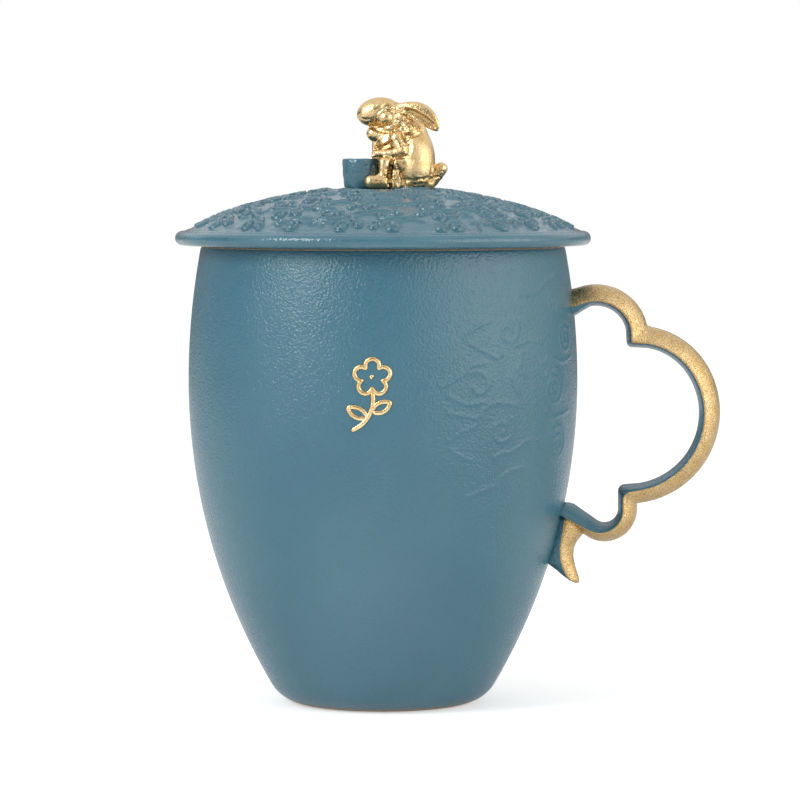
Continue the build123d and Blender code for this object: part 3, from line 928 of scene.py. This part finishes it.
creases = [  # side view lines (across, height), half width, depth
    ([(3.6, 5.4), (4.2, 3.8), (4.8, 2.4), (5.3, 0.8)], 0.3, 0.35),
    ([(2.6, 6.9), (2.3, 5.4), (2, 3.4), (1.9, 0.8)], 0.36, 0.7),
    ([(5, 12), (5.7, 10.8), (6.1, 9.6), (6.2, 8.6)], 0.5, 0.25),
    ([(5.9, 7.5), (4.2, 7.1), (2.4, 7)], 0.26, 0.25),
    ([(-0.3, 17.9), (-1.1, 17.1), (-1.45, 15.8), (-1.3, 14.7)], 0.28, 0.28),
    ([(-2.6, 14.2), (-0.6, 13.1), (1.6, 13), (3, 13.4), (4, 14)], 0.4, 0.36),
    ([(-1.4, 9.1), (-0.2, 9.5), (0.9, 9.8), (2, 10.6)], 0.36, 0.45),
    ([(5.1, 12.1), (6.8, 11.8), (8.3, 12.3)], 0.26, 0.28),
    ([(5.8, 2.1), (8.6, 2.2), (10.6, 2.6)], 0.3, 0.2),
    ([(11.6, 5.4), (11.4, 3.6), (11, 2)], 0.32, 0.38),
    ([(0.2, 18.4), (0.8, 18.85), (1.4, 18.9), (2, 18.5)], 0.22, 0.38),
    ([(1.1, 17.8), (1.6, 17.6), (2.2, 17.9)], 0.22, 0.3),
    ([(-5.3, 16.2), (-4.2, 15.7), (-3.2, 15.7)], 0.22, 0.15),
    ([(2.9, 19.6), (3.1, 18.4), (3, 17.2)], 0.26, 0.3),
]
pitted = [  # side view spots with a rougher skin and painted shade in its pits, and their reach
    ((4.3, 16.2), 2.6), ((1.4, 18), 1.5), ((3, 13.4), 1.6), ((5.6, 10.4), 1.6), ((2.2, 3.6), 2.6),
    ((12.2, 3.4), 2), ((6.4, 13.4), 1.8), ((8, 1.2), 2.6),
]


def creaseCut(trees, co, facing):
    cut = 0
    for tree, width, depth in trees:
        gap = tree.find((co.x, co.z, 0))[2]
        if gap < 2 * width:
            cut = max(cut, facing * depth * (1 - (gap / (2 * width)) ** 2) ** 2)
    return cut


def earHollow(ear, co, normal):  # a trough along the lower half of the ear's outer face
    axis, across, outward, length = earAxes(ear)
    offset = co - Vector(ear["root"])
    along = offset.dot(axis) / length
    aside = (offset.dot(across) - ear["arch"] * 4 * along * (1 - along)) / ear["width"]
    if normal.dot(outward) < 0.35 or abs(offset.dot(outward)) > 1.4:
        return 0
    run = smoothStep(0.15, 0.35, along) * smoothStep(1, 0.86, along)
    return run * smoothStep(0.5, 0.25, abs(aside + 0.48))


def carveRabbit(bm):
    trees = [(strokeTree([throughPoints(line, 0.1)]), width, depth) for line, width, depth in creases]
    recess = bm.verts.layers.float.new("recess")
    matt = bm.verts.layers.float.new("matt")
    moves = []
    for vert in bm.verts:
        co, normal = vert.co, vert.normal
        cut = creaseCut(trees, co, smoothStep(0.1, 0.45, abs(normal.y)))
        hollow = max(earHollow(ear, co, normal) for ear in (ears["near"], ears["far"]))
        side = Vector((co.x, co.z))
        rough = max(smoothStep(reach, 0.5 * reach, (side - Vector(spot)).length) for spot, reach in pitted)
        pits = noise.fractal(co * knob["pitScale"], 0.8, 2, 3)
        # painted shade: darker in the creases, along the ears' troughs and in the pits of the rough spots
        vert[recess] = min(1, 1.6 * cut + 0.5 * hollow + rough * max(0, -1.7 * pits))
        back = smoothStep(*knob["mattFront"], co.x) * smoothStep(*knob["mattTop"], co.z)
        vert[matt] = back * smoothStep(*knob["mattRear"], co.x) * (1 - rough)
        skinDepth = knob["pitDepth"] + knob["roughDepth"] * rough
        moves.append(normal * (skinDepth * pits - cut - ears["hollow"] * hollow))
    for vert, move in zip(bm.verts, moves):
        vert.co += move


def soften(bm, factor):  # all but the flat underneath
    bmesh.ops.smooth_vert(bm, verts=[v for v in bm.verts if v.co.z > 2 * knob["base"]], factor=factor,
                          use_axis_x=True, use_axis_y=True, use_axis_z=True)


def makeRabbit():
    bm = bmesh.new()
    addRabbit(bm)
    mesh = toMesh(bm, "rough_rabbit")
    rough = addObject("rough_rabbit", mesh)
    remesh = rough.modifiers.new("join", "REMESH")
    remesh.mode = "VOXEL"
    remesh.voxel_size = knob["voxel"]
    joined = bpy.data.meshes.new_from_object(rough.evaluated_get(bpy.context.evaluated_depsgraph_get()))
    bm = bmesh.new()
    bm.from_mesh(joined)
    bpy.data.objects.remove(rough)
    bpy.data.meshes.remove(mesh)
    bpy.data.meshes.remove(joined)
    bmesh.ops.bisect_plane(bm, geom=bm.verts[:] + bm.edges[:] + bm.faces[:], plane_co=(0, 0, knob["base"]),
                           plane_no=up, clear_inner=True)
    bmesh.ops.holes_fill(bm, edges=[e for e in bm.edges if e.is_boundary])
    for i in range(knob["smoothing"]):
        soften(bm, 0.5)
    bm.normal_update()
    carveRabbit(bm)
    soften(bm, 0.4)
    bmesh.ops.translate(bm, verts=bm.verts, vec=(0, 0, padHeight))
    bmesh.ops.recalc_face_normals(bm, faces=bm.faces)
    makePiece(bm, "rabbit", "lid", "rabbit_figure", [brightGold])


mortar = {"middle": -5.05, "radius": 4.1, "height": 6.8, "wall": 0.7, "depth": 3.4, "taper": 0.45,
          "uneven": 0.13, "unevenScale": 0.7}


def makeMortar():
    bm = bmesh.new()
    radius, height = mortar["radius"], mortar["height"]
    well = radius - mortar["wall"]
    base = height - mortar["depth"]
    heights = [height * i / 14 for i in range(15)]
    side = [(radius - mortar["taper"] * (1 - z / height) ** 2, z) for z in heights]
    profile = [(0, 0.02), (2, 0.02), (radius - 0.6, 0.02)] + side[1:-1]
    profile += [(radius - 0.06, height - 0.16), (radius - 0.22, height), (well - 0.1, height)]
    profile += [(well - 0.22, height - 0.12), (well - 0.22, base + 1), (well - 0.7, base + 0.25)]
    turn(bm, profile + [(well - 1.6, base), (0, base)], 96)
    for vert in bm.verts:  # thick glaze, slightly uneven
        vert.co += vert.normal * mortar["uneven"] * noise.noise(vert.co * mortar["unevenScale"])
    bmesh.ops.translate(bm, verts=bm.verts, vec=(mortar["middle"], 0, padHeight))
    makePiece(bm, "mortar_pot", "lid", "mortar", [gloss])


makeRabbit()
makeMortar()


# camera, light and floor

studio = {
    "distance": 945, "height": 124.5, "azimuth": 3.6, "aimAcross": 3.85, "aimHeight": 68.6, "lens": 188,
    "sky": 0.68, "floorGreys": (0.86, 0.82), "floorGlow": 0.45, "paperRoughness": 0.9,
    "floorGleam": (0.95, 0.15), "gleamPlace": (0, -0.1, 0), "gleamReach": (0.04, 0.09),
    "middle": Vector((0, 0, 0.07)),  # what lamps and cards face
    "lamps": {"key": ((-48.5, 31, 1.2), (0.42, 0.6), 7.2, (1, 1, 1)),  # place, size, power and colour
              "fill": ((67, 14, 1.4), (1.6, 0.9), 9.4, (1, 0.965, 0.91))},
    "flags": {"flag_front": ((-4, 24, 1.7), (1, 1), 0.06),  # place, size and grey
              "flag_left": ((-102, 10, 1.5), (0.85, 0.95), 0.06),
              "flag_back": ((180, 4, 1.2), (3.4, 0.5), 0.3)},
}


def makeCamera():
    turnBy = Matrix.Rotation(math.radians(studio["azimuth"]), 3, "Z")
    aim = turnBy @ Vector((studio["aimAcross"], 0, studio["aimHeight"]))
    place = turnBy @ Vector((studio["aimAcross"], -studio["distance"], studio["height"]))
    camera = addObject("camera", bpy.data.cameras.new("camera"))
    camera.data.lens = studio["lens"]
    camera.data.clip_end = 50
    camera.location = place * mm
    camera.rotation_euler = (aim - place).to_track_quat("-Z", "Y").to_euler()
    bpy.context.scene.camera = camera


def makeWorld():  # white where it is seen or mirrored, dimmer as light
    world = bpy.data.worlds.new("studio")
    bpy.context.scene.world = world
    world.use_nodes = True
    background = world.node_tree.nodes["Background"]
    path = addNode(background, "LightPath").outputs
    seen = calculate("MAXIMUM", path["Is Camera Ray"], path["Is Glossy Ray"])
    seen = calculate("MAXIMUM", seen, path["Is Transmission Ray"])
    strength = spread(seen, 0, 1, studio["sky"])
    setInputs(background, {"Color": (1, 1, 1, 1), "Strength": strength})


def stageSheet(name, size, matrix, material):
    bm = bmesh.new()
    bmesh.ops.create_grid(bm, x_segments=8, y_segments=8, size=1)
    bmesh.ops.scale(bm, verts=bm.verts, vec=(size[0] / 2, size[1] / 2, 1))
    bmesh.ops.transform(bm, verts=bm.verts, matrix=matrix)
    mesh = toMesh(bm, name)
    mesh.materials.append(material)
    sheet = addObject(name, mesh)
    return sheet


def grey(level):
    return (level, level, level, 1)


def makeFloor():
    material, shader, place = newMaterial("floor_paper")
    path = addNode(shader, "LightPath").outputs
    seen = calculate("MAXIMUM", path["Is Camera Ray"], path["Is Transmission Ray"])
    glow = calculate("MULTIPLY", seen, studio["floorGlow"])
    # painted reflection: the floor glows in gloss only, brightest just in front of the cup
    reach = addNode(place, "VectorMath", {0: place, 1: studio["gleamPlace"]}, operation="DISTANCE")
    gleam = spread(reach.outputs["Value"], *studio["gleamReach"], *studio["floorGleam"])
    setInputs(shader, {
        "Base Color": mixColour(grain(place, 40, 3), *map(grey, studio["floorGreys"])),
        "Roughness": studio["paperRoughness"],
        "Emission Color": (1, 1, 1, 1),
        "Emission Strength": calculate("MULTIPLY_ADD", path["Is Glossy Ray"], gleam, glow),
    })
    stageSheet("floor", (8, 8), Matrix.Identity(4), material)


def away(azimuth, elevation, distance):  # degrees round to the right of the camera's side, then up
    lift, swing = math.radians(elevation), math.radians(azimuth)
    level = math.cos(lift)
    return Vector((math.sin(swing) * level, -math.cos(swing) * level, math.sin(lift))) * distance


def makeLamp(name, place, size, power, colour):
    data = bpy.data.lights.new(name, "AREA")
    data.shape = "RECTANGLE"
    data.size, data.size_y = size
    data.energy = power
    data.color = colour
    lamp = addObject(name, data)
    offset = away(*place)
    lamp.location = studio["middle"] + offset
    lamp.rotation_euler = (-offset).to_track_quat("-Z", "Y").to_euler()


def makeFlag(name, place, size, level):  # a dark card that only shows in gloss
    material, shader, spot = newMaterial(name)
    setInputs(shader, {
        "Base Color": mixColour(grain(spot, 60), grey(level), grey(0.8 * level)),
        "Roughness": studio["paperRoughness"],
    })
    offset = away(*place)
    face = (-offset).to_track_quat("Z", "Y").to_matrix().to_4x4()
    card = stageSheet(name, size, Matrix.Translation(studio["middle"] + offset) @ face, material)
    card.visible_camera = False
    card.visible_diffuse = False
    card.visible_shadow = False


makeCamera()
makeWorld()
makeFloor()
for name, lamp in studio["lamps"].items():
    makeLamp(name, *lamp)
for name, flag in studio["flags"].items():
    makeFlag(name, *flag)
bpy.context.scene.view_settings.view_transform = "Standard"
print("studio made")
